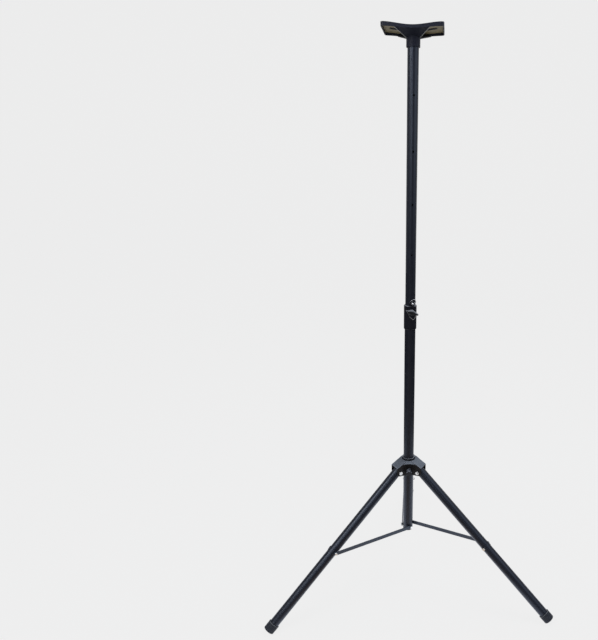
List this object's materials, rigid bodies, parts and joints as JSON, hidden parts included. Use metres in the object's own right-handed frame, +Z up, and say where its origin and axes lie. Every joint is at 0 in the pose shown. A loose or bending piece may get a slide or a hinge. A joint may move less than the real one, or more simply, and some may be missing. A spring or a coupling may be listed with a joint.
{
  "type": "floor speaker stand",
  "caption": "Tripod floor stand for a loudspeaker: sliding pole with clamp knob and safety pin, dished tray, and legs that fold like an umbrella on a sliding hub.",
  "frame": {"origin": "on the floor, on the mast axis", "axes": "+Z up along the mast, +X along the tray's long side, -Y towards the clamp knob and safety pin"},
  "size_m": [1.0355, 0.9627, 1.9696],
  "materials": {
    "tube_paint": "semi-gloss black",
    "strut_paint": "satin black",
    "black_plastic": "moulded black",
    "tray_plastic": "moulded charcoal",
    "hub_plastic": "moulded slate",
    "rubber": "matte",
    "zinc": "bright zinc plate",
    "chrome": "bright chrome",
    "wire": "stranded wire",
    "brass": "turned"
  },
  "bodies": {
    "mast": {"mast_tube": "tube_paint", "mast_end_plug": "black_plastic", "collar": "black_plastic", "clamp_nut": "brass", "anchor_screw": "zinc", "mast_ferrule": "wire", "lanyard": "wire", "inner_bolt_left": "zinc", "inner_bolt_right": "zinc", "inner_bolt_rear": "zinc"},
    "pole": {"inner_pole": "tube_paint", "pole_foot_plug": "black_plastic", "pole_head_plug": "black_plastic"},
    "tray": {"tray": "tray_plastic"},
    "hub": {"hub": "hub_plastic", "hub_bush": "hub_plastic", "hub_lock_nut": "brass", "hinge_bolt_left": "zinc", "hinge_nut_left": "zinc", "hinge_bolt_right": "zinc", "hinge_nut_right": "zinc", "hinge_bolt_rear": "zinc", "hinge_nut_rear": "zinc"},
    "hub_lock": {"hub_lock_knob": "black_plastic", "hub_lock_stud": "zinc"},
    "clamp": {"clamp_knob": "black_plastic", "clamp_stud": "zinc"},
    "pin": {"safety_pin": "chrome", "pin_ferrule": "wire"},
    "ring": {"pin_ring": "chrome"},
    "leg_left": {"leg_tube_left": "tube_paint", "leg_head_left": "black_plastic", "foot_cap_left": "rubber", "strut_clip_left": "strut_paint", "clip_bolt_left": "zinc"},
    "strut_left": {"strut_left": "strut_paint", "strut_rivet_left": "zinc"},
    "leg_right": {"leg_tube_right": "tube_paint", "leg_head_right": "black_plastic", "foot_cap_right": "rubber", "strut_clip_right": "strut_paint", "clip_bolt_right": "zinc"},
    "strut_right": {"strut_right": "strut_paint", "strut_rivet_right": "zinc"},
    "leg_rear": {"leg_tube_rear": "tube_paint", "leg_head_rear": "black_plastic", "foot_cap_rear": "rubber", "strut_clip_rear": "strut_paint", "clip_bolt_rear": "zinc"},
    "strut_rear": {"strut_rear": "strut_paint", "strut_rivet_rear": "zinc"}
  },
  "joints": [
    {"name": "pole_slide", "type": "slide", "parent": "mast", "child": "pole", "axis": [0, 0, 1], "range_m": [-0.648, 0]},
    {"name": "tray_swivel", "type": "hinge", "parent": "pole", "child": "tray", "pos_m": [0, 0, 1.93], "axis": [0, 0, 1], "continuous": true},
    {"name": "hub_slide", "type": "slide", "parent": "mast", "child": "hub", "axis": [0, 0, 1], "range_m": [0, 0.43645]},
    {"name": "clamp_knob_turn", "type": "hinge", "parent": "mast", "child": "clamp", "pos_m": [0.00859, -0.03496, 1.104], "axis": [0.2385, -0.9711, 0], "range_deg": [0, 360]},
    {"name": "hub_lock_turn", "type": "hinge", "parent": "hub", "child": "hub_lock", "pos_m": [0.00483, -0.04172, 0.48668], "axis": [0.1149, -0.9934, 0], "range_deg": [0, 360]},
    {"name": "pin_pull", "type": "slide", "parent": "mast", "child": "pin", "axis": [0.289, -0.9573, 0], "range_m": [0, 0.03]},
    {"name": "ring_swing", "type": "hinge", "parent": "pin", "child": "ring", "pos_m": [0.00925, -0.03063, 1.134], "axis": [0.8676, 0.262, -0.4226], "range_deg": [0, 90]},
    {"name": "leg_left_fold", "type": "hinge", "parent": "hub", "child": "leg_left", "pos_m": [-0.03934, -0.02922, 0.48718], "axis": [0.5962, -0.8028, 0], "range_deg": [0, 48.42]},
    {"name": "strut_left_fold", "type": "hinge", "parent": "mast", "child": "strut_left", "pos_m": [0.01312, -0.01766, 0.2315], "axis": [-0.5962, 0.8028, 0], "range_deg": [0, 79.61]},
    {"name": "leg_right_fold", "type": "hinge", "parent": "hub", "child": "leg_right", "pos_m": [0.04497, -0.01946, 0.48718], "axis": [0.3971, 0.9178, 0], "range_deg": [0, 48.42]},
    {"name": "strut_right_fold", "type": "hinge", "parent": "mast", "child": "strut_right", "pos_m": [0.00874, 0.02019, 0.2315], "axis": [-0.3971, -0.9178, 0], "range_deg": [0, 79.61]},
    {"name": "leg_rear_fold", "type": "hinge", "parent": "hub", "child": "leg_rear", "pos_m": [-0.00239, 0.04894, 0.48718], "axis": [-0.9988, -0.0488, 0], "range_deg": [0, 48.42]},
    {"name": "strut_rear_fold", "type": "hinge", "parent": "mast", "child": "strut_rear", "pos_m": [-0.02197, -0.00108, 0.2315], "axis": [0.9988, 0.0488, 0], "range_deg": [0, 79.61]}
  ],
  "couplings": [
    {"joint": "leg_left_fold", "follows": "hub_slide", "rad_per_m": 1.9355},
    {"joint": "strut_left_fold", "follows": "hub_slide", "rad_per_m": 3.1826},
    {"joint": "leg_right_fold", "follows": "hub_slide", "rad_per_m": 1.9355},
    {"joint": "strut_right_fold", "follows": "hub_slide", "rad_per_m": 3.1826},
    {"joint": "leg_rear_fold", "follows": "hub_slide", "rad_per_m": 1.9355},
    {"joint": "strut_rear_fold", "follows": "hub_slide", "rad_per_m": 3.1826}
  ]
}
